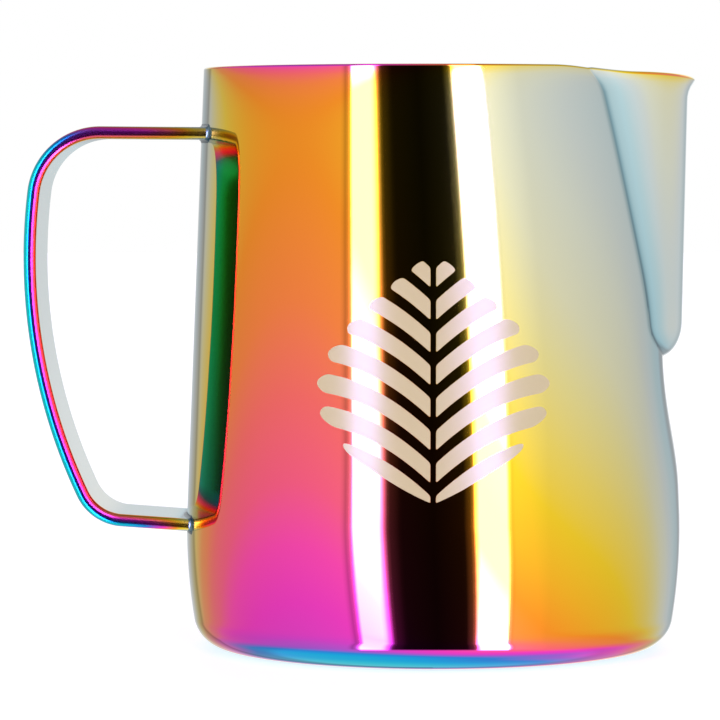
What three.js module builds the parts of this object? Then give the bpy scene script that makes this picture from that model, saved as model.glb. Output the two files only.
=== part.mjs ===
// Milk frothing pitcher: a deep-drawn steel body with a pouring spout pressed out of its wall, and a bent
// strap handle welded to it. Millimetres, +Z up. The origin is the centre of the base, on the body's axis,
// and +X points through the spout.
import * as THREE from "three";

const { degToRad, clamp, lerp, smoothstep } = THREE.MathUtils;

// Body, from the middle of the base outwards and up.
const HEIGHT = 105;
const RIM_RADIUS = 41.65;
const SHEET = 0.8;
const BASE_RADIUS = 37.65; // of the flat that the pitcher stands on
const CORNER_RADIUS = 6;
const CORNER_TURN = degToRad(80.7); // how far the corner turns up before the belly takes over
const BELLY_RADIUS = 100;

// Spout: a near-vertical round nose that meets the wall along two creases.
const SPOUT_FOOT = 52.8; // height of the nose's blunt lower end
const SPOUT_REACH = 45.05; // from the axis to the nose's front, just above its lower end
const SPOUT_LEAN = 0.021; // outward lean of the front
const SPOUT_ROUND = 32.9; // plan radius of the nose at its lower end
const SPOUT_WIDENING = 0.0365; // growth of the plan radius with height
const FOOT_DEPTH = 4; // the lower end is a quarter ellipse, this deep
const FOOT_HEIGHT = 6.3; // and this high
const LIP_FLARE = 1.4;
const LIP_FLARE_HEIGHT = 4.5;
const LEAST_CREASE = degToRad(18); // azimuth that the nose's columns keep below its lower end
const CREASE_BLEND = 0.15;

// The sheet is drawn in under the nose, and the rim dips towards the lip.
const DRAW_IN = 2.3;
const DRAW_IN_SPREAD = degToRad(18);
const DRAW_IN_START = 29;
const DRAW_IN_END = 70;
const SHOULDER_DIP = 1.25;
const SHOULDER_START = degToRad(60);
const SHOULDER_END = degToRad(36);
const LIP_DIP = 0.95;
const LIP_DIP_SPREAD = degToRad(20);
const DIP_START = 90; // height above which the wall follows the rim's dip

// Handle: a flat strap bent in three arcs. Its heights and bend radii are those of its outer face.
const HANDLE_TOP = 94.25; // at the body
const TOP_BAR_END = 59.6; // from the axis to the first bend
const TOP_BAR_RISE = degToRad(0.5); // the top bar rises this much away from the body
const HANDLE_BENDS = [
  { radius: 13.2, turn: degToRad(83.4), steps: 8 },
  { radius: 100.6, turn: degToRad(32.1), steps: 7 },
  { radius: 9.5, turn: degToRad(61), steps: 6 },
];
const STRAP_THICKNESS = 2.25;
const STRAP_TOP_WIDTH = 26.1;
const STRAP_BOTTOM_WIDTH = 22.9;
const STRAP_EDGE_RADIUS = 1.0;

// Weld beads, and the gap that keeps neighbouring pieces apart.
const WELD_LEG = 0.6;
const WELD_TOE = 0.15;
const GAP = 0.3;

// Mesh density.
const CORNER_STEPS = 5;
const BELLY_STEPS = 4;
const FINE_STEP = 0.4;
const COARSE_STEP = 7;
const STEP_GROWTH = 1.5;
const NOSE_COLUMNS = 20;
const WALL_COLUMNS = 34;
const COLUMN_GRADING = 0.6; // how much closer than average the wall's columns are beside the nose
const STRAP_WIDTH_STEPS = 6;
const STRAP_CORNER_STEPS = 3;

// Centre of the belly's arc, which carries on from the corner's arc.
const bellyCentre = new THREE.Vector2(
  BASE_RADIUS - (BELLY_RADIUS - CORNER_RADIUS) * Math.sin(CORNER_TURN),
  CORNER_RADIUS + (BELLY_RADIUS - CORNER_RADIUS) * Math.cos(CORNER_TURN),
);

// Where the belly ends and the straight wall runs on to the rim, as an angle at the belly's centre.
const wallStartAngle = (() => {
  const toRim = new THREE.Vector2(RIM_RADIUS, HEIGHT).sub(bellyCentre);
  return toRim.angle() - Math.acos(BELLY_RADIUS / toRim.length());
})();
const wallStart = new THREE.Vector2(Math.cos(wallStartAngle), Math.sin(wallStartAngle))
  .multiplyScalar(BELLY_RADIUS)
  .add(bellyCentre);

// Outer radius of the round body at a height on the belly or the wall.
function bodyRadius(height) {
  if (height > wallStart.y) {
    return lerp(wallStart.x, RIM_RADIUS, (height - wallStart.y) / (HEIGHT - wallStart.y));
  }
  return bellyCentre.x + Math.sqrt(BELLY_RADIUS ** 2 - (height - bellyCentre.y) ** 2);
}

// Heights from start to end, in steps that grow from fine to coarse.
function growingSteps(start, end) {
  const heights = [];
  const way = Math.sign(end - start);
  let step = FINE_STEP;
  for (let height = start; way * (end - height) > step / 2; height += way * step) {
    heights.push(height);
    step = Math.min(step * STEP_GROWTH, COARSE_STEP);
  }
  return [...heights, end];
}

// Outer section of the round body, as points (radius, height) from the axis to the rim.
function bodySection() {
  const cornerStart = -Math.PI / 2;
  const cornerEnd = cornerStart + CORNER_TURN;
  const corner = new THREE.EllipseCurve(
    BASE_RADIUS, CORNER_RADIUS, CORNER_RADIUS, CORNER_RADIUS, cornerStart, cornerEnd,
  );
  const belly = new THREE.EllipseCurve(
    bellyCentre.x, bellyCentre.y, BELLY_RADIUS, BELLY_RADIUS, cornerEnd, wallStartAngle,
  );
  const wallHeights = [
    ...growingSteps(SPOUT_FOOT, wallStart.y).reverse().slice(1, -1),
    ...growingSteps(SPOUT_FOOT, HEIGHT),
  ];
  return [
    new THREE.Vector2(0, 0),
    ...corner.getPoints(CORNER_STEPS),
    ...belly.getPoints(BELLY_STEPS).slice(1),
    ...wallHeights.map((height) => new THREE.Vector2(bodyRadius(height), height)),
  ];
}

// Distance from the axis to the front of the nose.
function noseFront(height) {
  const foot = clamp(1 - (height - SPOUT_FOOT) / FOOT_HEIGHT, 0, 1);
  const flare = Math.max(0, height - HEIGHT + LIP_FLARE_HEIGHT) / LIP_FLARE_HEIGHT;
  return (
    SPOUT_REACH +
    SPOUT_LEAN * (height - SPOUT_FOOT) -
    FOOT_DEPTH * (1 - Math.sqrt(1 - foot ** 2)) +
    LIP_FLARE * flare ** 2
  );
}

function nosePlanRadius(height) {
  return SPOUT_ROUND + SPOUT_WIDENING * (height - SPOUT_FOOT);
}

// Distance from the axis to the nose's surface at an azimuth.
function noseRadius(azimuth, height) {
  const planRadius = nosePlanRadius(height);
  const planCentre = noseFront(height) - planRadius;
  const aside = planCentre * Math.sin(azimuth);
  return planCentre * Math.cos(azimuth) + Math.sqrt(planRadius ** 2 - aside ** 2);
}

// Azimuth at which the nose meets the round wall.
function creaseAzimuth(height) {
  if (height <= SPOUT_FOOT) {
    return LEAST_CREASE;
  }
  const wall = bodyRadius(height);
  const planRadius = nosePlanRadius(height);
  const planCentre = noseFront(height) - planRadius;
  const cosine = (wall ** 2 + planCentre ** 2 - planRadius ** 2) / (2 * wall * planCentre);
  return Math.max(Math.acos(clamp(cosine, -1, 1)), LEAST_CREASE);
}

// How far the wall is drawn in under and beside the nose.
function drawIn(azimuth, height) {
  const below = smoothstep(height, DRAW_IN_START, SPOUT_FOOT);
  const above = 1 - smoothstep(height, SPOUT_FOOT, DRAW_IN_END);
  return DRAW_IN * Math.exp(-((azimuth / DRAW_IN_SPREAD) ** 2)) * below * above;
}

// How far a point of the upper wall is lowered by the dip in the rim.
function rimDip(azimuth, height) {
  const shoulder = 1 - smoothstep(Math.abs(azimuth), SHOULDER_END, SHOULDER_START);
  const lip = Math.exp(-((azimuth / LIP_DIP_SPREAD) ** 2));
  const follow = clamp((height - DIP_START) / (HEIGHT - DIP_START), 0, 1) ** 2;
  return (SHOULDER_DIP * shoulder + LIP_DIP * lip) * follow;
}

// The larger of two values, with the change from one to the other rounded off.
function softMax(a, b, blend) {
  const near = Math.max(blend - Math.abs(a - b), 0) / blend;
  return Math.max(a, b) + (near ** 2 * blend) / 4;
}

// Azimuths of a ring's columns, from one crease to the other across the nose, then round the wall.
function ringAzimuths(height) {
  const crease = creaseAzimuth(height);
  const azimuths = [];
  for (let i = 0; i < NOSE_COLUMNS; i++) {
    azimuths.push(lerp(-crease, crease, i / NOSE_COLUMNS));
  }
  for (let i = 0; i < WALL_COLUMNS; i++) {
    const turn = (2 * Math.PI * i) / WALL_COLUMNS;
    const share = (turn - COLUMN_GRADING * Math.sin(turn)) / (2 * Math.PI);
    azimuths.push(lerp(crease, 2 * Math.PI - crease, share));
  }
  return azimuths;
}

// One ring of the body's outer surface, from a point of its round section.
function bodyRing({ x: radius, y: height }) {
  return ringAzimuths(height).map((azimuth) => {
    const fromSpout = azimuth > Math.PI ? azimuth - 2 * Math.PI : azimuth;
    const wall = radius - drawIn(fromSpout, height);
    const atNose = height >= SPOUT_FOOT && Math.abs(fromSpout) < Math.PI / 2;
    const outer = atNose ? softMax(wall, noseRadius(fromSpout, height), CREASE_BLEND) : wall;
    return new THREE.Vector3(
      outer * Math.cos(azimuth),
      outer * Math.sin(azimuth),
      height - rimDip(fromSpout, height),
    );
  });
}

// The outer rings moved inwards by the sheet's thickness, square to the surface.
function innerRings(rings) {
  return rings.map((ring, row) =>
    ring.map((point, column) => {
      if (row === 0) {
        return point.clone().setZ(point.z + SHEET);
      }
      const next = ring[(column + 1) % ring.length];
      const previous = ring[(column + ring.length - 1) % ring.length];
      const above = rings[Math.min(row + 1, rings.length - 1)][column];
      const below = rings[row - 1][column];
      const outward = next.clone().sub(previous).cross(above.clone().sub(below)).normalize();
      return point.clone().addScaledVector(outward, -SHEET);
    }),
  );
}

// A surface through successive rings of points. joined also connects the last ring to the first.
function ringSurface(rings, { joined = false } = {}) {
  const count = rings[0].length;
  const indices = [];
  for (let row = 0; row < rings.length - (joined ? 0 : 1); row++) {
    const nextRow = (row + 1) % rings.length;
    for (let column = 0; column < count; column++) {
      const nextColumn = (column + 1) % count;
      const a = row * count + column;
      const b = row * count + nextColumn;
      const c = nextRow * count + nextColumn;
      const d = nextRow * count + column;
      indices.push(a, b, c, a, c, d);
    }
  }
  return { points: rings.flat(), indices };
}

// Triangles across a ring whose second half mirrors its first half, facing forwards or backwards.
function capIndices(start, count, forwards) {
  const indices = [];
  for (let i = 0; i < count / 2 - 1; i++) {
    const a = start + i;
    const b = a + 1;
    const d = start + count - 1 - i;
    const c = d - 1;
    indices.push(...(forwards ? [a, b, c, a, c, d] : [a, c, b, a, d, c]));
  }
  return indices;
}

function surfaceGeometry({ points, indices }) {
  const geometry = new THREE.BufferGeometry().setFromPoints(points);
  geometry.setIndex(indices);
  geometry.computeVertexNormals();
  return geometry;
}

function bodyGeometry() {
  const outer = bodySection().map(bodyRing);
  return surfaceGeometry(ringSurface([...outer, ...innerRings(outer).reverse()]));
}

// One place on the handle's path, which runs in the XZ plane through the middle of the strap.
// heading is the angle from +X towards +Z in which the path runs.
function station(x, z, heading) {
  return {
    centre: new THREE.Vector3(x, 0, z),
    along: new THREE.Vector3(Math.cos(heading), 0, Math.sin(heading)),
    out: new THREE.Vector3(Math.sin(heading), 0, -Math.cos(heading)),
  };
}

// The handle's stations, from its upper end on the body to its lower end on the body.
function handleStations() {
  const topMiddle = HANDLE_TOP - STRAP_THICKNESS / 2;
  const topRun = TOP_BAR_END - bodyRadius(topMiddle);
  let heading = Math.PI - TOP_BAR_RISE;
  const stations = [
    station(-bodyRadius(topMiddle), topMiddle, heading),
    station(-TOP_BAR_END, topMiddle + topRun * Math.tan(TOP_BAR_RISE), heading),
  ];
  for (const { radius, turn, steps } of HANDLE_BENDS) {
    const { centre, out } = stations.at(-1);
    const middleRadius = radius - STRAP_THICKNESS / 2;
    const pivot = centre.clone().addScaledVector(out, -middleRadius);
    for (let i = 1; i <= steps; i++) {
      const turned = station(0, 0, heading + (turn * i) / steps);
      turned.centre.copy(pivot).addScaledVector(turned.out, middleRadius);
      stations.push(turned);
    }
    heading += turn;
  }
  const { centre } = stations.at(-1);
  const end = station(centre.x, centre.z, heading);
  const run = (-bodyRadius(centre.z) - centre.x) / end.along.x;
  end.centre.addScaledVector(end.along, run);
  stations.push(end);
  return stations;
}

// Half the outline of the strap's section, round its outer face, as places across the strap's width and
// out of its middle plane, each with its normal. The other half is its mirror image.
function outerOutline(width) {
  const acrossEnd = width / 2 - STRAP_EDGE_RADIUS;
  const outEnd = STRAP_THICKNESS / 2 - STRAP_EDGE_RADIUS;
  const corner = (side, from) =>
    Array.from({ length: STRAP_CORNER_STEPS + 1 }, (_, i) => {
      const angle = from + ((Math.PI / 2) * i) / STRAP_CORNER_STEPS;
      const normal = new THREE.Vector2(Math.cos(angle), Math.sin(angle));
      const place = new THREE.Vector2(side * acrossEnd, outEnd);
      return { place: place.addScaledVector(normal, STRAP_EDGE_RADIUS), normal };
    });
  const face = Array.from({ length: STRAP_WIDTH_STEPS - 1 }, (_, i) => ({
    place: new THREE.Vector2(
      lerp(acrossEnd, -acrossEnd, (i + 1) / STRAP_WIDTH_STEPS),
      STRAP_THICKNESS / 2,
    ),
    normal: new THREE.Vector2(0, 1),
  }));
  return [...corner(1, 0), ...face, ...corner(-1, Math.PI / 2)];
}

function strapOutline(width) {
  const outer = outerOutline(width);
  const inner = outer.map(({ place, normal }) => ({
    place: new THREE.Vector2(place.x, -place.y),
    normal: new THREE.Vector2(normal.x, -normal.y),
  }));
  return [...outer, ...inner.reverse()];
}

// A direction in a station's section plane.
function inSection({ out }, { x: across, y: outwards }) {
  return new THREE.Vector3(0, -across, 0).addScaledVector(out, outwards);
}

// Moves a point along a direction to the body's wall, GAP short of it.
function slideToBody(point, direction) {
  const moved = point.clone();
  for (let i = 0; i < 4; i++) {
    const wall = -Math.sqrt((bodyRadius(moved.z) + GAP) ** 2 - moved.y ** 2);
    moved.addScaledVector(direction, (wall - moved.x) / direction.x);
  }
  return moved;
}

function strapGeometry(stations) {
  const last = stations.length - 1;
  const rings = stations.map((here, index) => {
    const width = lerp(STRAP_TOP_WIDTH, STRAP_BOTTOM_WIDTH, index / last);
    return strapOutline(width).map(({ place }) => {
      const point = inSection(here, place).add(here.centre);
      return index === 0 || index === last ? slideToBody(point, here.along) : point;
    });
  });
  const surface = ringSurface(rings);
  const count = rings[0].length;
  surface.indices.push(...capIndices(0, count, false));
  surface.indices.push(...capIndices(last * count, count, true));
  return surfaceGeometry(surface);
}

// A bead round an end of the strap: at each place of the strap's outline, a small concave section.
// side is 1 where the path leaves the body and -1 where it comes back to it.
function weldGeometry(end, width, side) {
  const away = end.along.clone().multiplyScalar(side);
  const section = [
    { off: GAP, up: 0 },
    { off: GAP + WELD_LEG, up: 0 },
    { off: GAP + WELD_LEG, up: WELD_TOE },
    { off: GAP + WELD_LEG / 3, up: WELD_LEG / 3 },
    { off: GAP + WELD_TOE, up: WELD_LEG },
    { off: GAP, up: WELD_LEG },
  ];
  if (side > 0) {
    section.reverse(); // so that the faces point out at both ends
  }
  const sections = strapOutline(width).map(({ place, normal }) =>
    section.map(({ off, up }) => {
      const offset = place.clone().addScaledVector(normal, off);
      const onBody = slideToBody(inSection(end, offset).add(end.centre), end.along);
      return onBody.addScaledVector(away, up);
    }),
  );
  return surfaceGeometry(ringSurface(sections, { joined: true }));
}

function part(name, geometry, material) {
  const mesh = new THREE.Mesh(geometry, material);
  mesh.name = name;
  return mesh;
}

const coatedSteel = new THREE.MeshStandardMaterial({ color: 0xe0a060, roughness: 0.1, metalness: 1 });
const coatedStrap = new THREE.MeshStandardMaterial({ color: 0x8f7fb8, roughness: 0.12, metalness: 1 });
const coatedWeld = new THREE.MeshStandardMaterial({ color: 0x5f6f80, roughness: 0.3, metalness: 1 });

const stations = handleStations();
const group = new THREE.Group();
group.add(
  part("pitcher_body", bodyGeometry(), coatedSteel),
  part("handle_strap", strapGeometry(stations), coatedStrap),
  part("upper_weld", weldGeometry(stations[0], STRAP_TOP_WIDTH, 1), coatedWeld),
  part("lower_weld", weldGeometry(stations.at(-1), STRAP_BOTTOM_WIDTH, -1), coatedWeld),
);

export default group;
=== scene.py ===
"""Looks of a milk frothing pitcher in mirror-polished steel with a rainbow titanium coating.

The CAD model is faceted, and a mirror finish shows every facet. So each CAD node is replaced here by a
fine mesh of the same shape, made from the same dimensions. Lengths are in millimetres until a mesh is
made, and angles are in radians. +X points through the spout, and azimuths turn from +X towards +Y.
"""

import math

import bpy
import numpy as np
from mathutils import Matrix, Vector


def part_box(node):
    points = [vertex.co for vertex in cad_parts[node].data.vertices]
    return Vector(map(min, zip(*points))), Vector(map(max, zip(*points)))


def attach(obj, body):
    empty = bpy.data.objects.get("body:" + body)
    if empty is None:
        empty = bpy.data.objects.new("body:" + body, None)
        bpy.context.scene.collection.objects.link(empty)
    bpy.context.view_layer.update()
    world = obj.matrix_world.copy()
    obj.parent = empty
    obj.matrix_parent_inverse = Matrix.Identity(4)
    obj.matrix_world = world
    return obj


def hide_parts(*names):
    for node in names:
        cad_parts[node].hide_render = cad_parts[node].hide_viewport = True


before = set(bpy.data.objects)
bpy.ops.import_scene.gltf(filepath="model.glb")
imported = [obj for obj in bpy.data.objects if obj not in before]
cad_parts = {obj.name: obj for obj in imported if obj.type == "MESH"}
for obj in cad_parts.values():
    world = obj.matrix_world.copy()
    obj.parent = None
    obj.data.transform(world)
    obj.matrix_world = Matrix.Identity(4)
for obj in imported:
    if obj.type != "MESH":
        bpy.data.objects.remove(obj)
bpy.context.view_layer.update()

# ---------------------------------------------------------------------------------------------------
# Dimensions of the design, in millimetres
# ---------------------------------------------------------------------------------------------------

HEIGHT = 105.0
RIM_RADIUS = 41.65
SHEET = 0.8
BASE_RADIUS = 37.65
CORNER_RADIUS = 6.0
CORNER_TURN = math.radians(80.7)
BELLY_RADIUS = 100.0

SPOUT_FOOT = 52.8
SPOUT_REACH = 45.05  # from the axis to the nose's front, at the foot
SPOUT_LEAN = 0.021  # how far the front leans out for each millimetre of height
SPOUT_ROUND = 32.9  # radius of the nose's round plan, at the foot
SPOUT_WIDENING = 0.0365  # how much that radius grows for each millimetre of height
FOOT_DEPTH = 4.0
FOOT_HEIGHT = 6.3
LIP_FLARE = 1.4
LIP_FLARE_HEIGHT = 4.5
LEAST_CREASE = math.radians(18)
CREASE_BLEND = 0.12  # nose and wall run into each other where they are this close together

DRAW_IN = 2.3  # how far the wall is drawn in under the nose
DRAW_IN_SPREAD = math.radians(18)
DRAW_IN_START = 29.0
DRAW_IN_END = 70.0
SHOULDER_DIP = 1.25
SHOULDER_START = math.radians(60)
SHOULDER_END = math.radians(36)
LIP_DIP = 0.95
LIP_DIP_SPREAD = math.radians(20)
DIP_START = 90.0

HANDLE_TOP = 94.25
TOP_BAR_END = 59.6
TOP_BAR_RISE = math.radians(0.5)
HANDLE_BENDS = (  # radius of the outer face, turn, and how many stations it gets
    (13.2, math.radians(83.4), 40),
    (100.6, math.radians(32.1), 60),
    (9.5, math.radians(61.0), 30),
)
STRAP_THICKNESS = 2.25
STRAP_TOP_WIDTH = 26.1
STRAP_BOTTOM_WIDTH = 22.9
STRAP_EDGE_RADIUS = 1.0
WELD_LEG = 0.6
WELD_SINK = 0.12  # the bead's back lies this deep in the strap and in the wall
WELD_RIPPLE = 0.06  # how much the ripples add to the bead and take from it, as a share of its size
WELD_RIPPLES = 40

# How fine the meshes are.
BASE_STEPS = 8
CORNER_STEPS = 22
BELLY_STEPS = 24
HEIGHT_STEPS_BELOW_FOOT = (0.08, 1.6)  # finest and coarsest, in millimetres
HEIGHT_STEPS_ABOVE_FOOT = (0.04, 1.2)
RIM_STEPS = 6
NOSE_COLUMNS = 96
NOSE_CROWDING = 0.75  # by this share, columns are closer together at the crease than on average
WALL_COLUMNS = 144
WALL_CROWDING = 0.8
TOP_BAR_STATIONS = 24
BOTTOM_BAR_STEPS = 16
WELD_WIDTH_STEPS = 48
FILLET_STEPS = 8

# How often a place that is found by repeated steps is improved.
CREASE_PASSES = 40
SLIDE_PASSES = 4

# The frame sets the scale: a millimetre of the design, in the frame's metres.
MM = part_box("pitcher_body")[1].z / HEIGHT

BELLY_X = BASE_RADIUS - (BELLY_RADIUS - CORNER_RADIUS) * math.sin(CORNER_TURN)
BELLY_Z = CORNER_RADIUS + (BELLY_RADIUS - CORNER_RADIUS) * math.cos(CORNER_TURN)
RIM_FROM_BELLY = math.hypot(RIM_RADIUS - BELLY_X, HEIGHT - BELLY_Z)
WALL_START_ANGLE = math.atan2(HEIGHT - BELLY_Z, RIM_RADIUS - BELLY_X) - math.acos(
    BELLY_RADIUS / RIM_FROM_BELLY
)
WALL_START_X = BELLY_X + BELLY_RADIUS * math.cos(WALL_START_ANGLE)
WALL_START_Z = BELLY_Z + BELLY_RADIUS * math.sin(WALL_START_ANGLE)


def smoothstep(value, start, end):
    """0 up to the start, 1 from the end on, and smooth in between."""
    t = np.clip((value - start) / (end - start), 0, 1)
    return t * t * (3 - 2 * t)


# ---------------------------------------------------------------------------------------------------
# Shape of the body
# ---------------------------------------------------------------------------------------------------


def body_radius(height):
    """Outer radius of the round body at a height on the belly or the wall."""
    height = np.asarray(height, float)
    share = (height - WALL_START_Z) / (HEIGHT - WALL_START_Z)
    wall = WALL_START_X + (RIM_RADIUS - WALL_START_X) * share
    belly = BELLY_X + np.sqrt(np.maximum(BELLY_RADIUS**2 - (height - BELLY_Z) ** 2, 0))
    return np.where(height > WALL_START_Z, wall, belly)


def arc(centre_x, centre_z, radius, start, end, steps):
    """Rows of (x, z, heading) along an arc, where the heading is the way the arc goes."""
    angles = np.linspace(start, end, steps + 1)
    x = centre_x + radius * np.cos(angles)
    z = centre_z + radius * np.sin(angles)
    return np.column_stack([x, z, angles + math.pi / 2])


def graded_heights(start, end, first_step, last_step, growth=1.12):
    """Heights from start to end, in steps that grow from fine to coarse."""
    way = math.copysign(1, end - start)
    heights, height, step = [], start, first_step
    while way * (end - height) > step / 2:
        heights.append(height)
        height += way * step
        step = min(step * growth, last_step)
    return heights + [end]


def body_section():
    """Outer section of the round body, from the base up: rows of (radius, height, heading)."""
    corner_start = -math.pi / 2
    corner_end = corner_start + CORNER_TURN
    base_radius = np.linspace(0, BASE_RADIUS, BASE_STEPS + 1)[1:-1]
    base = np.column_stack([base_radius, np.zeros((len(base_radius), 2))])
    corner = arc(BASE_RADIUS, CORNER_RADIUS, CORNER_RADIUS, corner_start, corner_end, CORNER_STEPS)
    belly = arc(BELLY_X, BELLY_Z, BELLY_RADIUS, corner_end, WALL_START_ANGLE, BELLY_STEPS)
    below = graded_heights(SPOUT_FOOT, WALL_START_Z, *HEIGHT_STEPS_BELOW_FOOT)[::-1][1:-1]
    above = graded_heights(SPOUT_FOOT, HEIGHT - SHEET / 2, *HEIGHT_STEPS_ABOVE_FOOT)
    wall_heights = np.array(below + above)
    wall_heading = np.full(len(wall_heights), WALL_START_ANGLE + math.pi / 2)
    wall = np.column_stack([body_radius(wall_heights), wall_heights, wall_heading])
    return np.vstack([base, corner, belly[1:], wall])


def nose_front(height):
    """Distance from the axis to the front of the spout's nose."""
    foot = np.clip(1 - (height - SPOUT_FOOT) / FOOT_HEIGHT, 0, 1)
    flare = np.maximum(0, height - HEIGHT + LIP_FLARE_HEIGHT) / LIP_FLARE_HEIGHT
    front = SPOUT_REACH + SPOUT_LEAN * (height - SPOUT_FOOT)
    return front - FOOT_DEPTH * (1 - np.sqrt(1 - foot**2)) + LIP_FLARE * flare**2


def nose_plan(height):
    """Radius and centre of the nose's round plan at a height."""
    radius = SPOUT_ROUND + SPOUT_WIDENING * (height - SPOUT_FOOT)
    return radius, nose_front(height) - radius


def nose_radius(azimuth, height):
    """Distance from the axis to the nose's surface."""
    radius, centre = nose_plan(height)
    aside = centre * np.sin(azimuth)
    return centre * np.cos(azimuth) + np.sqrt(radius**2 - aside**2)


def draw_in(azimuth, height):
    """How much the wall is drawn in under and beside the nose."""
    below = smoothstep(height, DRAW_IN_START, SPOUT_FOOT)
    above = 1 - smoothstep(height, SPOUT_FOOT, DRAW_IN_END)
    return DRAW_IN * np.exp(-((azimuth / DRAW_IN_SPREAD) ** 2)) * below * above


def rim_dip(azimuth, height):
    """How far a point of the upper wall is lowered by the dip in the rim."""
    shoulder = 1 - smoothstep(np.abs(azimuth), SHOULDER_END, SHOULDER_START)
    lip = np.exp(-((azimuth / LIP_DIP_SPREAD) ** 2))
    follow = np.clip((height - DIP_START) / (HEIGHT - DIP_START), 0, 1) ** 2
    return (SHOULDER_DIP * shoulder + LIP_DIP * lip) * follow


def crease_azimuth(radius, height):
    """Azimuth at which the nose meets the wall, for each row."""
    plan_radius, plan_centre = nose_plan(height)
    crease = np.full(len(height), LEAST_CREASE)
    for _ in range(CREASE_PASSES):
        wall = radius - draw_in(crease, height)
        cosine = (wall**2 + plan_centre**2 - plan_radius**2) / (2 * wall * plan_centre)
        crease = (crease + np.arccos(np.clip(cosine, -1, 1))) / 2
    return np.where(height > SPOUT_FOOT, np.maximum(crease, LEAST_CREASE), LEAST_CREASE)


def eased(count, crowding):
    """count shares from 0 up to but not including 1, closer together near both ends."""
    t = np.arange(count) / count
    return t - crowding * np.sin(2 * math.pi * t) / (2 * math.pi)


def nose_over_wall(azimuth, radius, height):
    """How far the nose stands out of the wall. It is negative where the nose's surface is inside it."""
    at_nose = (height >= SPOUT_FOOT) & (np.abs(azimuth) < math.pi / 2)
    nose = np.where(at_nose, nose_radius(np.where(at_nose, azimuth, 0), height), 0)
    return nose - (radius - draw_in(azimuth, height))


def body_surface(azimuth, radius, height):
    """Points of the outer surface, for azimuths from the spout and rows of the section."""
    over = nose_over_wall(azimuth, radius, height)
    near = np.maximum(CREASE_BLEND - np.abs(over), 0) / CREASE_BLEND
    reach = radius - draw_in(azimuth, height) + np.maximum(over, 0) + near**2 * CREASE_BLEND / 4
    lowered = height - rim_dip(azimuth, height)
    return np.stack([reach * np.cos(azimuth), reach * np.sin(azimuth), lowered], axis=-1)


def unit(vectors):
    return vectors / np.linalg.norm(vectors, axis=-1, keepdims=True)


def body_normals(azimuth, radius, height, heading):
    """Normals of the outer surface. They come from the surface itself and not from the mesh, so that
    its reflections stay smooth where columns follow the crease."""
    step = 1e-4
    around = body_surface(azimuth + step, radius, height) - body_surface(azimuth - step, radius, height)
    higher = body_surface(azimuth, radius + step * np.cos(heading), height + step * np.sin(heading))
    up = higher - body_surface(azimuth, radius, height)
    return unit(np.cross(around, up))


def body_grid():
    """The outer surface as a grid [row, column]: points, normals, coating, and polish and painted light.
    """
    radius, height, heading = body_section().T[:, :, None]
    crease = crease_azimuth(radius[:, 0], height[:, 0])[:, None]
    nose = -crease + 2 * crease * eased(NOSE_COLUMNS, NOSE_CROWDING)
    wall = crease + (2 * math.pi - 2 * crease) * eased(WALL_COLUMNS, WALL_CROWDING)
    azimuth = np.hstack([nose, wall])
    azimuth = np.where(azimuth > math.pi, azimuth - 2 * math.pi, azimuth)
    radius, height, heading = (np.broadcast_to(part, azimuth.shape) for part in (radius, height, heading))
    points = body_surface(azimuth, radius, height)
    normals = body_normals(azimuth, radius, height, heading)
    return points, normals, *body_coating(azimuth, height, radius, crease)


# ---------------------------------------------------------------------------------------------------
# Coating: how thick it is at each place, as a place on the colour scale of COATING_COLOURS. Polish and
# painted light: a factor on that colour, where 1 is the wall's polish. It paints a highlight on the nose
# and shade along the crease, on the strap's edges and over its top bar, and it darkens the welds.
# ---------------------------------------------------------------------------------------------------

# The wall's coating half way round, and how much thicker it is towards the handle and thinner towards the
# spout: polynomials, highest power first, of the way down from the rim as a share of the height.
WALL_COATING = (0.08, 0.15, 0.30, 0.32)
SIDE_COATING = (-0.08, 0.30)
SIDE_SHARPNESS = 2.4  # how suddenly the coating changes from the handle's side to the spout's
HANDLE_RIM_COATING = 0.14
HANDLE_RIM_REACH = 4.0
SPOUT_RIM_COATING = 0.14
SPOUT_RIM_REACH = 2.2
RIM_LINE_COATING = 0.16
RIM_LINE_SIDE_COATING = 0.04
RIM_LINE_REACH = 0.7
RIM_EDGE_COATING = 0.25

CREASE_LINE_DEPTH = 0.16  # the dark line of painted shade at the crease is where nose and wall are this close together
CREASE_LINE_FADE = (0.5, 4)  # and it ends between these depths under the rim
# Along the line the coating is thinner, which makes it bluer and darker, and the darkening below is
# painted shade: the line is partly coating colour and partly painted shade.
CREASE_LINE_THINNING = 0.12
CREASE_PAINTED_SHADE = 0.34
NOSE_COATING = ((0, -0.10), (0.1, -0.08), (0.32, 0.22), (0.55, 0.44), (0.74, 0.62), (1, 0.72))
NOSE_FOOT_COATING = 0.9
NOSE_FOOT_HEIGHT = 9.0
# Painted highlight: the nose's colour is brightened by this factor.
NOSE_PAINTED_HIGHLIGHT = 1.25
NOSE_HIGHLIGHT_START = 0.1  # the painted highlight rises over this share of the way from the crease to the nose's front

BASE_COATING = 1.30
BASE_SIDE_THINNING = 0.12
BASE_EDGE_COATING = 0.45
BASE_EDGE_HEIGHT = 2.2
BASE_BLEND = ((0.3, 6.5, 3), (0.7, 3.8, 2.2))  # shares of the change to the base, each between two heights


def wall_coating(side, height):
    """The wall's coating, where side runs from -1 at the handle to 1 at the spout."""
    down = (HEIGHT - height) / HEIGHT
    at_rim = HANDLE_RIM_COATING * (1 - side) * np.exp(-(HEIGHT - height) / HANDLE_RIM_REACH)
    return np.polyval(WALL_COATING, down) - np.polyval(SIDE_COATING, down) * side + at_rim


def nose_coating(across, height):
    """The nose's coating, where across runs from 0 at the crease to 1 at the front."""
    foot = NOSE_FOOT_COATING * np.exp(-np.maximum(height - SPOUT_FOOT, 0) / NOSE_FOOT_HEIGHT)
    return np.interp(across, *zip(*NOSE_COATING)) + foot * across * (1 - across)


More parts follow.
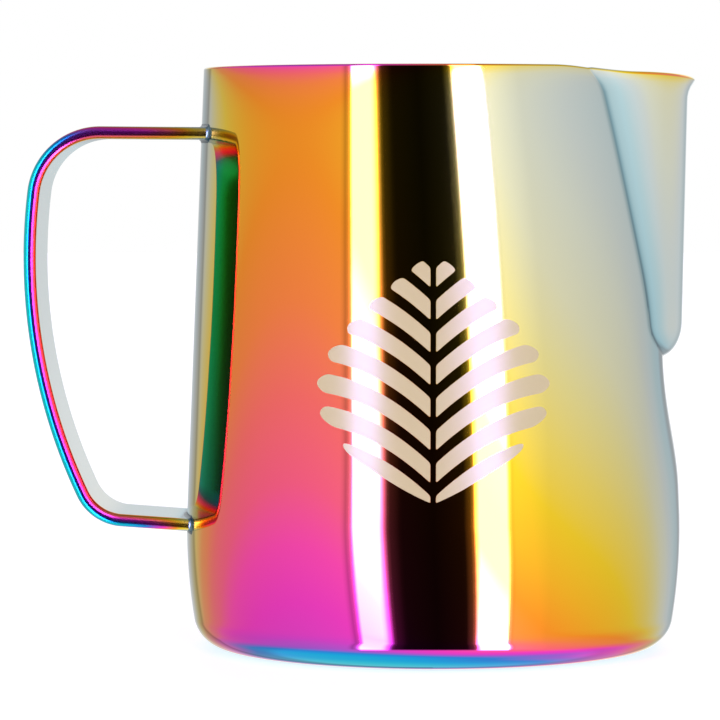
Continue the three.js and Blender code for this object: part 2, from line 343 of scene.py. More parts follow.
def body_coating(azimuth, height, radius, crease):
    """The coating of the body, and its polish and painted light: a painted highlight on the nose and
    painted shade along the crease. The coating is thick towards the base and the handle, thin towards the
    spout, and thick again at the rim's edge."""
    side = np.tanh(SIDE_SHARPNESS * np.cos(azimuth))
    below_rim = HEIGHT - height
    over = nose_over_wall(azimuth, radius, height)
    across = np.where(over > 0, np.clip(1 - np.abs(azimuth) / crease, 0, 1), 0)
    coating = np.where(over > 0, nose_coating(across, height), wall_coating(side, height))
    at_crease = np.exp(-((over / CREASE_LINE_DEPTH) ** 2)) * smoothstep(below_rim, *CREASE_LINE_FADE)
    coating -= CREASE_LINE_THINNING * at_crease
    coating += (RIM_LINE_COATING + RIM_LINE_SIDE_COATING * side) * np.exp(-below_rim / RIM_LINE_REACH)
    coating += SPOUT_RIM_COATING * np.maximum(side, 0) * np.exp(-below_rim / SPOUT_RIM_REACH)
    base = BASE_COATING - BASE_SIDE_THINNING * side
    base += BASE_EDGE_COATING * smoothstep(height, BASE_EDGE_HEIGHT, 0)
    coating += (base - coating) * sum(share * smoothstep(height, *ends) for share, *ends in BASE_BLEND)
    # Painted highlight over the nose, rising from the crease, and painted shade along the crease line.
    polish_and_painted_light = 1 + (NOSE_PAINTED_HIGHLIGHT - 1) * np.clip(across / NOSE_HIGHLIGHT_START, 0, 1)
    return coating, polish_and_painted_light - CREASE_PAINTED_SHADE * at_crease


# ---------------------------------------------------------------------------------------------------
# Meshes
# ---------------------------------------------------------------------------------------------------


def ring_faces(rows, columns, first=0, joined=False):
    """Quads between successive rings of points, of which the first ring starts at point number first."""
    row = np.arange(rows if joined else rows - 1)[:, None]
    column = np.arange(columns)[None, :]
    above, beside = (row + 1) % rows, (column + 1) % columns
    quads = [
        row * columns + column,
        row * columns + beside,
        above * columns + beside,
        above * columns + column,
    ]
    return (np.stack(quads, axis=-1).reshape(-1, 4) + first).tolist()


def fan_faces(pole, first, columns, forwards):
    """Triangles between a ring that starts at point number first and the single point at its middle."""
    faces = [(pole, first + i, first + (i + 1) % columns) for i in range(columns)]
    return faces if forwards else [face[::-1] for face in faces]


def add_attribute(mesh, name, values):
    """One number for each point of a mesh, which a material can read by its name."""
    attribute = mesh.attributes.new(name, "FLOAT", "POINT")
    attribute.data.foreach_set("value", np.asarray(values, np.float32))


def make_piece(name, points, normals, faces, coating, polish_and_painted_light, materials, material_of_face=None):
    """A smooth mesh object from points in millimetres, with its coating and its polish and painted light
    as vertex attributes.
    """
    mesh = bpy.data.meshes.new(name)
    mesh.from_pydata((points * MM).tolist(), [], faces)
    mesh.shade_smooth()
    add_attribute(mesh, "coating", coating)
    add_attribute(mesh, "polish_and_painted_light", polish_and_painted_light)
    for material in materials:
        mesh.materials.append(material)
    if material_of_face is not None:
        mesh.polygons.foreach_set("material_index", np.asarray(material_of_face, np.int32))
    if normals is not None:
        mesh.normals_split_custom_set_from_vertices(normals.tolist())
    mesh.update()
    piece = bpy.data.objects.new(name, mesh)
    bpy.context.scene.collection.objects.link(piece)
    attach(piece, "root")
    return piece


def make_body(outside, inside):
    """The sheet-metal body: outer surface, rounded rim and inner surface as one closed mesh. Its first
    point is the middle of the base, and its last one is the middle of the floor inside."""
    outer, normals, coating, polish_and_painted_light = body_grid()
    middle = outer[-1] - normals[-1] * SHEET / 2
    along_rim = np.roll(outer[-1], -1, axis=0) - np.roll(outer[-1], 1, axis=0)
    upward = unit(np.cross(normals[-1], along_rim))
    upward *= np.sign(upward[:, 2:])
    swings = np.linspace(0, math.pi, RIM_STEPS + 2)[1:-1, None, None]
    rim_normals = normals[-1] * np.cos(swings) + upward * np.sin(swings)
    rim = middle + rim_normals * SHEET / 2

    kept_rows = np.unique(np.r_[np.arange(0, len(outer), 2), len(outer) - 1])[::-1]
    inner_normals = normals[kept_rows]
    inner = outer[kept_rows] - inner_normals * SHEET
    grid = np.concatenate([outer, rim, inner])
    rows, columns = grid.shape[:2]
    points = np.vstack([(0, 0, 0), grid.reshape(-1, 3), (0, 0, SHEET)])
    normals = np.concatenate([normals, rim_normals, -inner_normals]).reshape(-1, 3)
    normals = np.vstack([(0, 0, -1), normals, (0, 0, 1)])
    rim_rows = np.full(RIM_STEPS, len(outer) - 1)
    coating = np.vstack([coating, coating[rim_rows] + RIM_EDGE_COATING, coating[kept_rows]])
    coating = np.r_[BASE_COATING, coating.ravel(), BASE_COATING]
    polish_and_painted_light = np.vstack([polish_and_painted_light, polish_and_painted_light[rim_rows], polish_and_painted_light[kept_rows]])
    polish_and_painted_light = np.r_[1, polish_and_painted_light.ravel(), 1]

    faces = fan_faces(0, 1, columns, forwards=False)
    faces += ring_faces(rows, columns, first=1)
    faces += fan_faces(rows * columns + 1, (rows - 1) * columns + 1, columns, forwards=True)
    outer_faces = columns * (len(outer) + RIM_STEPS)
    is_inside = np.arange(len(faces)) >= outer_faces
    materials = [outside, inside]
    return make_piece("polished_body", points, normals, faces, coating, polish_and_painted_light, materials, is_inside)


def outward(heading):
    """Direction in (x, z) from the middle of the strap to its outer face."""
    return np.array([math.sin(heading), -math.cos(heading)])


def handle_stations():
    """The handle's path along the middle of the strap: the centres of its stations in (x, z), and their
    headings."""
    top = HANDLE_TOP - STRAP_THICKNESS / 2
    start = float(body_radius(top))
    rise = math.tan(TOP_BAR_RISE)
    heading = math.pi - TOP_BAR_RISE
    top_bar = np.linspace(start, TOP_BAR_END, TOP_BAR_STATIONS)
    centres = [np.array([-x, top + (x - start) * rise]) for x in top_bar]
    headings = [heading] * len(centres)
    for radius, turn, steps in HANDLE_BENDS:
        middle = radius - STRAP_THICKNESS / 2
        pivot = centres[-1] - middle * outward(heading)
        for share in np.arange(1, steps + 1) / steps:
            now = heading + turn * share
            centres.append(pivot + middle * outward(now))
            headings.append(now)
        heading += turn
    run = (-float(body_radius(centres[-1][1])) - centres[-1][0]) / math.cos(heading)
    last = centres[-1]
    for share in np.arange(1, BOTTOM_BAR_STEPS + 1) / BOTTOM_BAR_STEPS:
        centres.append(last + run * share * np.array([math.cos(heading), math.sin(heading)]))
        headings.append(heading)
    return np.array(centres), np.array(headings)


def strap_outline(width, width_steps=16, corner_steps=8):
    """Outline of the strap's section: places (across, out) and normals. It mirrors itself front to back,
    so that place i faces place -1-i."""
    across_end = width / 2 - STRAP_EDGE_RADIUS
    out_end = STRAP_THICKNESS / 2 - STRAP_EDGE_RADIUS
    angles = np.linspace(0, math.pi / 2, corner_steps + 1)
    right = np.column_stack([np.cos(angles), np.sin(angles)])
    left = right[::-1] * (-1, 1)
    face_x = np.linspace(across_end, -across_end, width_steps + 1)[1:-1]
    face = np.column_stack([face_x, np.full(len(face_x), STRAP_THICKNESS / 2)])
    places = np.vstack(
        [
            right * STRAP_EDGE_RADIUS + (across_end, out_end),
            face,
            left * STRAP_EDGE_RADIUS + (-across_end, out_end),
        ]
    )
    normals = np.vstack([right, np.tile((0.0, 1.0), (len(face), 1)), left])
    places = np.vstack([places, places[::-1] * (1, -1)])
    normals = np.vstack([normals, normals[::-1] * (1, -1)])
    return places, normals


def in_space(centre, heading, places):
    """Points of a station's section plane, from places (across, out)."""
    out = np.array([math.sin(heading), 0, -math.cos(heading)])
    across = np.array([0, -1.0, 0])
    middle = np.array([centre[0], 0, centre[1]])
    return middle + places[:, :1] * across + places[:, 1:] * out


def along_heading(heading):
    return np.array([math.cos(heading), 0, math.sin(heading)])


def slide_to_body(points, heading):
    """Points moved along a heading to the body's wall."""
    along = along_heading(heading)
    moved = points.copy()
    for _ in range(SLIDE_PASSES):
        wall = -np.sqrt(body_radius(moved[:, 2]) ** 2 - moved[:, 1] ** 2)
        moved += ((wall - moved[:, 0]) / along[0])[:, None] * along
    return moved


# Across the strap's edge, from its inner face (-1) to its outer face (1): how thick the coating is, and
# the painted shade that darkens the edge, as the share of its brightness that is kept.
STRAP_COATING = (
    (-1, 1.42),
    (-0.95, 1.08),
    (-0.85, 0.78),
    (-0.7, 0.80),
    (-0.3, 0.93),
    (0, 1.1),
    (0.25, 1.24),
    (0.4, 1.42),
    (0.7, 1.6),
    (0.85, 1.8),
    (1, 2.4),
)
STRAP_EDGE_PAINTED_SHADE = (
    (-1, 1),
    (-0.95, 0.8),
    (-0.5, 0.8),
    (-0.35, 0.4),
    (-0.12, 0.3),
    (0.12, 0.3),
    (0.35, 0.4),
    (0.5, 1),
    (1, 1),
)
FACE_START = 0.9  # the outer face starts here, and the inner face at minus this
TOP_BAR_COATING = 1.06  # the thickest coating on the top bar, but for its inner face
# Painted shade over the top bar, as the share of its brightness that is kept, and where across the strap
# it starts; the inner face is left out.
TOP_BAR_PAINTED_SHADE = 0.55
TOP_BAR_SHADE_START = -0.3
TOP_BAR_ENDS = (15.0, 34.0)  # distances from the upper weld between which both come to an end
HEATED_COATING = 0.38
HEATED_REACHES = (7.0, 5.0)  # how far the heat of the upper and of the lower weld thinned the coating
FACE_REACH_SHARE = 0.12  # and how much of that on the strap's inner face
OUTER_FACE_COATING = (1.12, 1.42)  # in the middle of the outer face, at the top and at the bottom
OUTER_FACE_INSET = 1.5
WELD_COATING = -0.14
WELD_GLEAM = 0.45


def handle_coating(places, width, from_top, from_bottom):
    """The coating of the strap, and the painted shade on its edges and over its top bar. The coating is
    thick on both faces, thinner round the edges and on the top bar, and thinnest by the welds."""
    out = places[:, 1] / (STRAP_THICKNESS / 2)
    off_inner_face = out > -FACE_START
    past_bar = float(smoothstep(from_top, *TOP_BAR_ENDS))
    coating = np.interp(out, *zip(*STRAP_COATING))
    bar_coating = np.where(off_inner_face, np.minimum(coating, TOP_BAR_COATING), coating)
    coating = bar_coating + (coating - bar_coating) * past_bar
    inset = width / 2 - STRAP_EDGE_RADIUS - np.abs(places[:, 0])
    in_outer_face = np.where(out > FACE_START, np.clip(inset / OUTER_FACE_INSET, 0, 1), 0)
    face_coating = np.interp(from_top / (from_top + from_bottom), (0, 1), OUTER_FACE_COATING)
    coating += (face_coating - coating) * in_outer_face
    reach_share = np.where(off_inner_face, 1, FACE_REACH_SHARE)
    for distance, reach in zip((from_top, from_bottom), HEATED_REACHES):
        heated = np.exp(-distance / (reach_share * reach))
        coating += (HEATED_COATING - coating) * heated
    # Painted shade round the strap's edges and over the top bar, fading out past the bar.
    polish_and_painted_light = np.interp(out, *zip(*STRAP_EDGE_PAINTED_SHADE))
    bar_painted_shade = np.where(out > TOP_BAR_SHADE_START, TOP_BAR_PAINTED_SHADE, 1)
    return coating, polish_and_painted_light * (bar_painted_shade + (1 - bar_painted_shade) * past_bar)


def make_handle(material):
    """The strap of the handle: a ring of points at each station, and a flat cap at either end."""
    centres, headings = handle_stations()
    lengths = np.r_[0, np.cumsum(np.linalg.norm(np.diff(centres, axis=0), axis=1))]
    rings, ring_normals, coating, polish_and_painted_light = [], [], [], []
    for index, (centre, heading) in enumerate(zip(centres, headings)):
        share = lengths[index] / lengths[-1]
        width = STRAP_TOP_WIDTH + (STRAP_BOTTOM_WIDTH - STRAP_TOP_WIDTH) * share
        places, normals = strap_outline(width)
        ring = in_space(centre, heading, places)
        if index in (0, len(centres) - 1):
            ring = slide_to_body(ring, heading)
        rings.append(ring)
        ring_normals.append(in_space((0, 0), heading, normals))
        left_to_go = lengths[-1] - lengths[index]
        ring_coating, ring_painted_shade = handle_coating(places, width, lengths[index], left_to_go)
        coating.append(ring_coating)
        polish_and_painted_light.append(ring_painted_shade)
    rows, columns = len(rings), len(rings[0])
    faces = ring_faces(rows, columns)
    for start, forwards in ((0, False), ((rows - 1) * columns, True)):
        for i in range(columns // 2 - 1):
            quad = [start + i, start + i + 1, start + columns - 2 - i, start + columns - 1 - i]
            faces.append(quad if forwards else quad[::-1])
    points, normals = np.vstack(rings), np.vstack(ring_normals)
    coating, polish_and_painted_light = np.concatenate(coating), np.concatenate(polish_and_painted_light)
    return make_piece("polished_handle", points, normals, faces, coating, polish_and_painted_light, [material])


def make_weld(name, end, material):
    """The bead round one end of the strap: at each place of its outline, a concave fillet. end is 0 for
    the upper end and -1 for the lower one."""
    centres, headings = handle_stations()
    centre, heading = centres[end], headings[end]
    side = 1 if end == 0 else -1
    away = side * along_heading(heading)
    width = STRAP_TOP_WIDTH if end == 0 else STRAP_BOTTOM_WIDTH
    places, normals = strap_outline(width, WELD_WIDTH_STEPS)
    angles = np.linspace(0, math.pi / 2, FILLET_STEPS + 1)
    fillet_off = WELD_LEG * (1 - np.sin(angles))
    fillet_up = WELD_LEG * (1 - np.cos(angles))
    section = [(-WELD_SINK, -WELD_SINK), (WELD_LEG, -WELD_SINK)] + list(zip(fillet_off, fillet_up))
    section += [(-WELD_SINK, WELD_LEG)]
    around = np.arange(len(places)) / len(places)
    ripple = 1 + WELD_RIPPLE * np.sin(2 * math.pi * WELD_RIPPLES * around)[:, None]
    sections = []
    for off, up in section:
        offset = places + normals * off * ripple
        base = slide_to_body(in_space(centre, heading, offset), heading)
        sections.append(base + away * up * ripple)
    rings = np.array(sections).transpose(1, 0, 2)
    if end == 0:
        rings = rings[:, ::-1]
    rows, columns = rings.shape[:2]
    faces = ring_faces(rows, columns, joined=True)
    coating = np.full(rows * columns, WELD_COATING)
    polish_and_painted_light = np.full(rows * columns, WELD_GLEAM)
    return make_piece(name, rings.reshape(-1, 3), None, faces, coating, polish_and_painted_light, [material])


# ---------------------------------------------------------------------------------------------------
# Materials
# ---------------------------------------------------------------------------------------------------

COATING_COLOURS = (  # place on the colour scale, and the reflected colour there, in linear RGB
    (-0.40, (0.17, 0.28, 0.33)),
    (-0.25, (0.33, 0.54, 0.61)),
    (-0.10, (0.43, 0.59, 0.62)),
    (0.00, (0.54, 0.63, 0.63)),
    (0.06, (0.59, 0.64, 0.60)),
    (0.12, (0.65, 0.67, 0.55)),
    (0.20, (0.70, 0.68, 0.46)),
    (0.28, (0.76, 0.67, 0.28)),
    (0.36, (0.82, 0.64, 0.13)),
    (0.44, (0.87, 0.59, 0.025)),
    (0.52, (0.91, 0.45, 0.022)),
    (0.59, (0.96, 0.29, 0.022)),
    (0.66, (0.98, 0.24, 0.06)),
    (0.73, (1.00, 0.16, 0.15)),
    (0.80, (1.00, 0.12, 0.24)),
    (0.86, (1.00, 0.07, 0.44)),
    (0.92, (0.90, 0.05, 0.54)),
    (1.00, (0.70, 0.06, 0.60)),
    (1.08, (0.34, 0.11, 0.63)),
    (1.16, (0.03, 0.22, 0.68)),
    (1.25, (0.01, 0.36, 0.73)),
    (1.36, (0.01, 0.50, 0.66)),
    (1.50, (0.01, 0.58, 0.56)),
)
COATING_RANGE = (-0.40, 1.50)
FACING_SHIFT = 0.19
BODY_GRAZING = (1.15, 4.0)  # how far a grazing view shifts the colour, and how suddenly
STRAP_GRAZING = (1.7, 3.0)
BODY_ROUGHNESS = 0.03
STRAP_ROUGHNESS = 0.25
WELD_ROUGHNESS = 0.3

ETCHED_COLOUR = (0.375, 0.33, 0.135)
ETCHED_ROUGHNESS = 0.22
LEAF_MIDDLE = 51.0
LEAF_HEIGHT = 43.4
LEAF_WIDTH = 38.0
LEAF_LOWER_FULLNESS = 0.28
PETAL_PITCH = 5.6
PETAL_RISE = 0.95
PETAL_BEND = 0.022
PETAL_SCALLOP = 0.9
PETAL_FULLNESS = 0.28
STEM_GAP = 0.5
PETAL_TIP_ROUNDING = 1.2
PETAL_ROOT_ROUNDING = 0.6
EDGE_SOFTNESS = 0.08

SATIN_COLOURS = ((0.3, (0.58, 0.56, 0.53)), (0.7, (0.66, 0.64, 0.61)))
SATIN_ROUGHNESS = 0.24
RING_ROUGHNESS = 0.12  # the most that the rings add to it
RING_STRETCH = (12, 12, 900)  # noise that changes slowly round the pitcher and quickly up its wall
RING_DETAIL = 3.0


def new_material(name):
    material = bpy.data.materials.new(name)
    material.use_nodes = True
    tree = material.node_tree
    shader = tree.nodes["Principled BSDF"]
    return material, tree, shader


def math_node(tree, operation, *values):
    node = tree.nodes.new("ShaderNodeMath")
    node.operation = operation
    for socket, value in zip(node.inputs, values):
        if isinstance(value, (int, float)):
            socket.default_value = value
        else:
            tree.links.new(value, socket)
    return node.outputs[0]


def scale_colour(tree, colour, factor):
    scale = tree.nodes.new("ShaderNodeVectorMath")
    scale.operation = "SCALE"
    tree.links.new(colour, scale.inputs[0])
    if isinstance(factor, float):
        scale.inputs["Scale"].default_value = factor
    else:
        tree.links.new(factor, scale.inputs["Scale"])
    return scale.outputs["Vector"]


def grey(level):
    return level, level, level


def mix_colours(tree, share, first, second):
    """The first colour, mixed with a second one that is given in linear RGB."""
    mix = tree.nodes.new("ShaderNodeMix")
    mix.data_type = "RGBA"
    factor, colour_a, colour_b = mix.inputs[0], mix.inputs[6], mix.inputs[7]
    tree.links.new(share, factor)
    tree.links.new(first, colour_a)
    colour_b.default_value = (*second, 1)
    return mix.outputs[2]


def colour_ramp(tree, value, low, high, stops):
    """A colour ramp over a value that runs from low to high, with stops given at that value."""
    ramp = tree.nodes.new("ShaderNodeValToRGB")
    elements = ramp.color_ramp.elements
    elements.remove(elements[-1])
    for index, (place, colour) in enumerate(stops):
        position = (place - low) / (high - low)
        element = elements[0] if index == 0 else elements.new(position)
        element.position = position
        element.color = (*colour, 1)
    scaled = tree.nodes.new("ShaderNodeMapRange")
    scaled.inputs["From Min"].default_value = low
    scaled.inputs["From Max"].default_value = high
    tree.links.new(value, scaled.inputs["Value"])
    tree.links.new(scaled.outputs["Result"], ramp.inputs[0])
    return ramp.outputs[0]


def attribute_value(tree, name):
    attribute = tree.nodes.new("ShaderNodeAttribute")
    attribute.attribute_name = name
    return attribute.outputs["Fac"]


def coated_steel(name, roughness, grazing):
    """Polished steel under a thin coating, whose colour comes from its thickness and from the angle, and
    is scaled by the polish and painted light attribute.
    """
    material, tree, shader = new_material(name)
    facing = tree.nodes.new("ShaderNodeLayerWeight")
    facing.inputs["Blend"].default_value = 0.5
    turned = facing.outputs["Facing"]
    at_grazing = math_node(tree, "MULTIPLY", math_node(tree, "POWER", turned, grazing[1]), grazing[0])
    shift = math_node(tree, "MULTIPLY_ADD", turned, FACING_SHIFT, at_grazing)
    place = math_node(tree, "SUBTRACT", attribute_value(tree, "coating"), shift)
    colour = colour_ramp(tree, place, *COATING_RANGE, COATING_COLOURS)
    colour = scale_colour(tree, colour, attribute_value(tree, "polish_and_painted_light"))
    tree.links.new(colour, shader.inputs["Base Color"])
    shader.inputs["Metallic"].default_value = 1
    shader.inputs["Roughness"].default_value = roughness
    return material


def etched_steel(name):
    """The body's coating with a matt leaf etched through it, on the side with the handle to the left."""
    material = coated_steel(name, BODY_ROUGHNESS, BODY_GRAZING)
    tree = material.node_tree
    shader = tree.nodes["Principled BSDF"]
    mask = leaf_mask(tree)
    coated_colour = shader.inputs["Base Color"].links[0].from_socket
    colour = mix_colours(tree, mask, coated_colour, ETCHED_COLOUR)
    tree.links.new(colour, shader.inputs["Base Color"])
    metallic = math_node(tree, "MULTIPLY_ADD", mask, -1.0, 1.0)
    tree.links.new(metallic, shader.inputs["Metallic"])
    roughness = math_node(tree, "MULTIPLY_ADD", mask, ETCHED_ROUGHNESS - BODY_ROUGHNESS, BODY_ROUGHNESS)
    tree.links.new(roughness, shader.inputs["Roughness"])
    return material


def filled(tree, inside):
    """1 where a distance in millimetres is positive, 0 where it is negative, with a soft edge."""
    share = math_node(tree, "MULTIPLY_ADD", inside, 1 / EDGE_SOFTNESS, 0.5)
    return math_node(tree, "MAXIMUM", math_node(tree, "MINIMUM", share, 1.0), 0.0)


def leaf_mask(tree):
    """A leaf of poured milk: a pointed oval cut into rising pairs of petals by gaps, with a stem gap."""
    place = tree.nodes.new("ShaderNodeTexCoord")
    parts = tree.nodes.new("ShaderNodeSeparateXYZ")
    tree.links.new(place.outputs["Object"], parts.inputs[0])
    x, y, z = parts.outputs
    aside = math_node(tree, "ABSOLUTE", math_node(tree, "MULTIPLY", x, 1 / MM))
    up = math_node(tree, "MULTIPLY_ADD", z, 1 / MM, -LEAF_MIDDLE)

    # The outline: its half width falls from the middle of the leaf to the points at its ends.
    along = math_node(tree, "MULTIPLY", up, 2 / LEAF_HEIGHT)
    falling = math_node(tree, "MULTIPLY_ADD", math_node(tree, "MULTIPLY", along, along), -1.0, 1.0)
    lower_fuller = math_node(tree, "MULTIPLY_ADD", along, -LEAF_LOWER_FULLNESS, 1.0)
    oval = math_node(tree, "MULTIPLY", falling, lower_fuller)
    half_width = math_node(tree, "MULTIPLY", oval, LEAF_WIDTH / 2)

    # The petals: bands that rise away from the stem and bend over outwards.
    bend = math_node(tree, "MULTIPLY", math_node(tree, "MULTIPLY", aside, aside), PETAL_BEND)
    lift = math_node(tree, "MULTIPLY_ADD", aside, -PETAL_RISE, math_node(tree, "ADD", up, bend))
    turn = math_node(tree, "MULTIPLY", lift, 2 * math.pi / PETAL_PITCH)
    wave = math_node(tree, "COSINE", turn)
    scallop_depth = math_node(tree, "MULTIPLY", falling, PETAL_SCALLOP)
    scallop = math_node(tree, "MULTIPLY_ADD", wave, scallop_depth, half_width)
    in_outline = math_node(tree, "SUBTRACT", scallop, aside)
    in_petal = math_node(tree, "MULTIPLY_ADD", wave, PETAL_PITCH / (2 * math.pi), PETAL_FULLNESS)
    off_stem = math_node(tree, "SUBTRACT", aside, STEM_GAP)
    rounded_tips = math_node(tree, "SMOOTH_MIN", in_outline, in_petal, PETAL_TIP_ROUNDING)
    petals = filled(tree, math_node(tree, "SMOOTH_MIN", rounded_tips, off_stem, PETAL_ROOT_ROUNDING))
    on_front = filled(tree, math_node(tree, "MULTIPLY", y, -1 / MM))
    return math_node(tree, "MULTIPLY", petals, on_front)


def satin_steel(name):
    """Bare steel inside, turned on a lathe: fine rings that vary in colour and in roughness."""
    material, tree, shader = new_material(name)
    place = tree.nodes.new("ShaderNodeTexCoord")
    rings = tree.nodes.new("ShaderNodeMapping")
    rings.inputs["Scale"].default_value = RING_STRETCH
    tree.links.new(place.outputs["Object"], rings.inputs["Vector"])
    noise = tree.nodes.new("ShaderNodeTexNoise")
    noise.inputs["Scale"].default_value = 1.0
    noise.inputs["Detail"].default_value = RING_DETAIL
    tree.links.new(rings.outputs["Vector"], noise.inputs["Vector"])
    colour = colour_ramp(tree, noise.outputs["Fac"], 0, 1, SATIN_COLOURS)
    tree.links.new(colour, shader.inputs["Base Color"])
    roughness = math_node(tree, "MULTIPLY_ADD", noise.outputs["Fac"], RING_ROUGHNESS, SATIN_ROUGHNESS)
    tree.links.new(roughness, shader.inputs["Roughness"])
    shader.inputs["Metallic"].default_value = 1
    return material


# ---------------------------------------------------------------------------------------------------
# Stage: studio light, floor and camera
# ---------------------------------------------------------------------------------------------------

# Brightness of the studio round the pitcher: azimuth in degrees, 0 towards the camera and positive
# towards the spout's side. Two narrow soft boxes stand either side of the dark camera position, with a
# wide pale panel beyond each. A thin dark gap parts the left one from its panel. The panels darken towards
# the back, and it is bright again right behind the pitcher.
STUDIO = (
    (-180, 0.92),
    (-167, 0.62),
    (-154, 0.42),
    (-150.5, 0.33),
    (-147, 0.58),
    (-90, 0.79),
    (-50, 0.90),
    (-43.5, 0.92),
    (-41.5, 0.74),
    (-40.2, 0.45),
    (-38.0, 1.4),
    (-37.0, 18.0),
    (-26, 18.0),
    (-24.0, 5.0),
    (-22.2, 0.25),
    (-20, 0.05),
    (-15, 0.008),
    (0, 0.004),
    (14, 0.01),
    (17, 0.12),
    (18.4, 0.5),
    (19.5, 4.0),
    (20.6, 20.0),
    (33.8, 20.0),
    (34.8, 4.0),
    (35.5, 0.85),
    (37, 1.30),
    (55, 0.97),
    (120, 0.72),
    (150, 0.67),
    (164, 0.52),
    (170, 1.0),
)
STUDIO_PEAK = 40.0
SOFT_BOX_LEVEL = 2.0
SOFT_BOX_TINT = (0.9, 0.75, 1.6)  # the soft boxes are cooler than the panels
CEILING_GLOW = 0.5
CEILING_EDGE = (12.0, 50.0)  # elevations between which the studio gives way to the ceiling
FLOOR_GLOW = 0.96
FLOOR_EDGE = (-43.0, -50.0)  # elevations between which the studio gives way to the white floor

# Above eye level the soft boxes lean to the left and draw together, up to the highest elevation. Below it
# they lean a little to the right, down to the lowest elevation, and from there on they spread.
HIGHEST_LEAN = 6.0
LOWEST_LEAN = -25.0
LEAN_ABOVE = 0.77
CURVE_ABOVE = 0.12
NARROWING_ABOVE = 0.0037
LEAN_BELOW = 0.10
SPREADING = 0.011
SPREADING_RANGE = 30.0

FLOOR_SIZE = 3.0  # in metres, from the middle to each side
FLOOR_DROP = 0.0002  # in metres, which keeps the floor clear of the base
FLOOR_GREY = 0.35
FLOOR_ROUGHNESS = 0.6
FLOOR_OWN_LIGHT = 0.75

CAMERA_DISTANCE = 771.4
CAMERA_HEIGHT = 89.85
CAMERA_TURN = 0.0173  # radians to the left of the body's axis
CAMERA_TILT = 0.0491  # radians downwards
CAMERA_RANGE = (0.01, 20)  # nearest and furthest that it sees, in metres
LENS_MM = 212.0
SENSOR_MM = 36.0


def studio_colour(level):
    """The colour of a level of STUDIO, darkened so that the brightest one fits on a colour ramp."""
    tint = SOFT_BOX_TINT if level > SOFT_BOX_LEVEL else (1, 1, 1)
    return tuple(level / STUDIO_PEAK * part for part in tint)


def edge_share(tree, value, start, end):
    """How far a value has come, smoothly, from start to end."""
    share = tree.nodes.new("ShaderNodeMapRange")
    share.interpolation_type = "SMOOTHSTEP"
    share.inputs["From Min"].default_value = start
    share.inputs["From Max"].default_value = end
    tree.links.new(value, share.inputs["Value"])
    return share.outputs["Result"]


def make_world():
    """The studio, as light and in reflections. The camera itself sees plain white round the pitcher."""
    world = bpy.data.worlds.new("studio")
    bpy.context.scene.world = world
    world.use_nodes = True
    tree = world.node_tree
    background = tree.nodes["Background"]
    direction = tree.nodes.new("ShaderNodeTexCoord")
    parts = tree.nodes.new("ShaderNodeSeparateXYZ")
    tree.links.new(direction.outputs["Generated"], parts.inputs[0])
    x, y, z = parts.outputs
    toward_camera = math_node(tree, "MULTIPLY", y, -1.0)
    azimuth = math_node(tree, "DEGREES", math_node(tree, "ARCTAN2", x, toward_camera))
    elevation = math_node(tree, "DEGREES", math_node(tree, "ARCSINE", z))

    above = math_node(tree, "MINIMUM", math_node(tree, "MAXIMUM", elevation, 0.0), HIGHEST_LEAN)
    below = math_node(tree, "MAXIMUM", math_node(tree, "MINIMUM", elevation, 0.0), LOWEST_LEAN)
    above_squared = math_node(tree, "MULTIPLY", above, above)
    leaned = math_node(tree, "MULTIPLY_ADD", above_squared, CURVE_ABOVE, azimuth)
    leaned = math_node(tree, "MULTIPLY_ADD", above, LEAN_ABOVE, leaned)
    leaned = math_node(tree, "MULTIPLY_ADD", below, LEAN_BELOW, leaned)
    width = math_node(tree, "MULTIPLY_ADD", above_squared, -NARROWING_ABOVE, 1.0)
    steep = math_node(tree, "MULTIPLY_ADD", elevation, -1.0, LOWEST_LEAN)
    steep = math_node(tree, "MINIMUM", math_node(tree, "MAXIMUM", steep, 0.0), SPREADING_RANGE)
    width = math_node(tree, "MULTIPLY_ADD", steep, SPREADING, width)
    upright = math_node(tree, "DIVIDE", leaned, width)

    levels = [(degrees, studio_colour(level)) for degrees, level in STUDIO]
    round_about = colour_ramp(tree, upright, -180, 180, levels)
    light = scale_colour(tree, round_about, STUDIO_PEAK)
    light = mix_colours(tree, edge_share(tree, elevation, *CEILING_EDGE), light, grey(CEILING_GLOW))
    light = mix_colours(tree, edge_share(tree, elevation, *FLOOR_EDGE), light, grey(FLOOR_GLOW))
    rays = tree.nodes.new("ShaderNodeLightPath")
    light = mix_colours(tree, rays.outputs["Is Camera Ray"], light, grey(1.0))
    tree.links.new(light, background.inputs["Color"])
    background.inputs["Strength"].default_value = 1.0


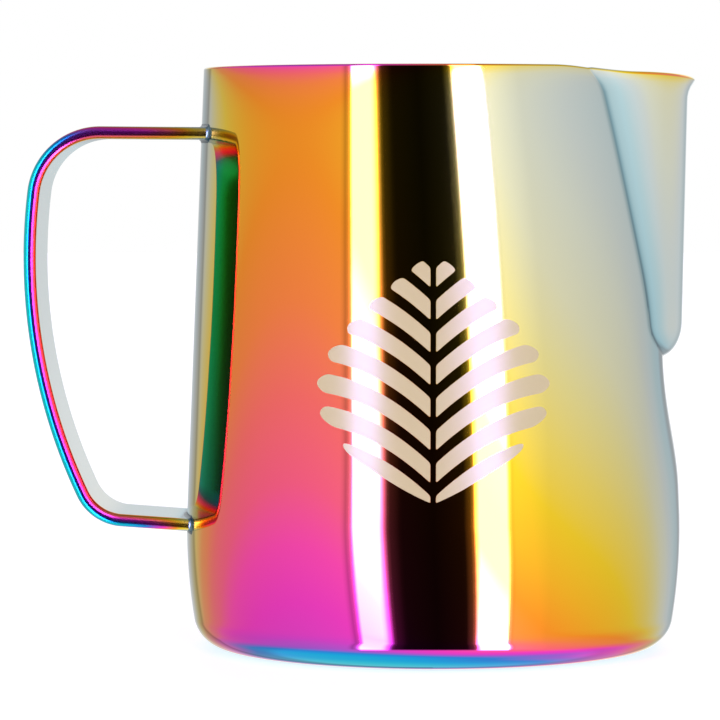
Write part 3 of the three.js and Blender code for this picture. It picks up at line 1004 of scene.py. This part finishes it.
def make_floor():
    """A pale floor that glows a little, so that it stays white round the pitcher's shadow."""
    size = FLOOR_SIZE
    mesh = bpy.data.meshes.new("floor")
    corners = [(-size, -size, 0), (size, -size, 0), (size, size, 0), (-size, size, 0)]
    mesh.from_pydata(corners, [], [(0, 1, 2, 3)])
    floor = bpy.data.objects.new("floor", mesh)
    floor.location.z = -FLOOR_DROP
    bpy.context.scene.collection.objects.link(floor)
    material, tree, shader = new_material("pale_floor")
    shader.inputs["Base Color"].default_value = (*grey(FLOOR_GREY), 1)
    shader.inputs["Roughness"].default_value = FLOOR_ROUGHNESS
    shader.inputs["Emission Color"].default_value = (1, 1, 1, 1)
    shader.inputs["Emission Strength"].default_value = FLOOR_OWN_LIGHT
    floor.data.materials.append(material)
    floor.visible_glossy = False


def make_camera():
    camera = bpy.data.objects.new("camera", bpy.data.cameras.new("camera"))
    camera.data.sensor_width = SENSOR_MM
    camera.data.lens = LENS_MM
    camera.location = Vector((0, -CAMERA_DISTANCE, CAMERA_HEIGHT)) * MM
    forward = Vector((-math.tan(CAMERA_TURN), 1, -math.tan(CAMERA_TILT)))
    camera.rotation_mode = "QUATERNION"
    camera.rotation_quaternion = forward.to_track_quat("-Z", "Y")
    camera.data.clip_start, camera.data.clip_end = CAMERA_RANGE
    bpy.context.scene.collection.objects.link(camera)
    bpy.context.scene.camera = camera


def main():
    coated_body = etched_steel("rainbow_coated_body")
    coated_handle = coated_steel("rainbow_coated_handle", STRAP_ROUGHNESS, STRAP_GRAZING)
    coated_weld = coated_steel("rainbow_coated_weld", WELD_ROUGHNESS, BODY_GRAZING)
    inside = satin_steel("satin_steel_inside")
    pieces = (  # each with the CAD node that it replaces and its material slot
        (make_body(coated_body, inside), "pitcher_body", "rainbow_body"),
        (make_handle(coated_handle), "handle_strap", "rainbow_handle"),
        (make_weld("upper_bead", 0, coated_weld), "upper_weld", "rainbow_weld"),
        (make_weld("lower_bead", -1, coated_weld), "lower_weld", "rainbow_weld"),
    )
    for piece, node, slot in pieces:
        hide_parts(node)

    make_world()
    make_floor()
    make_camera()
    view = bpy.context.scene.view_settings
    view.view_transform = "Standard"
    view.look = "None"


main()
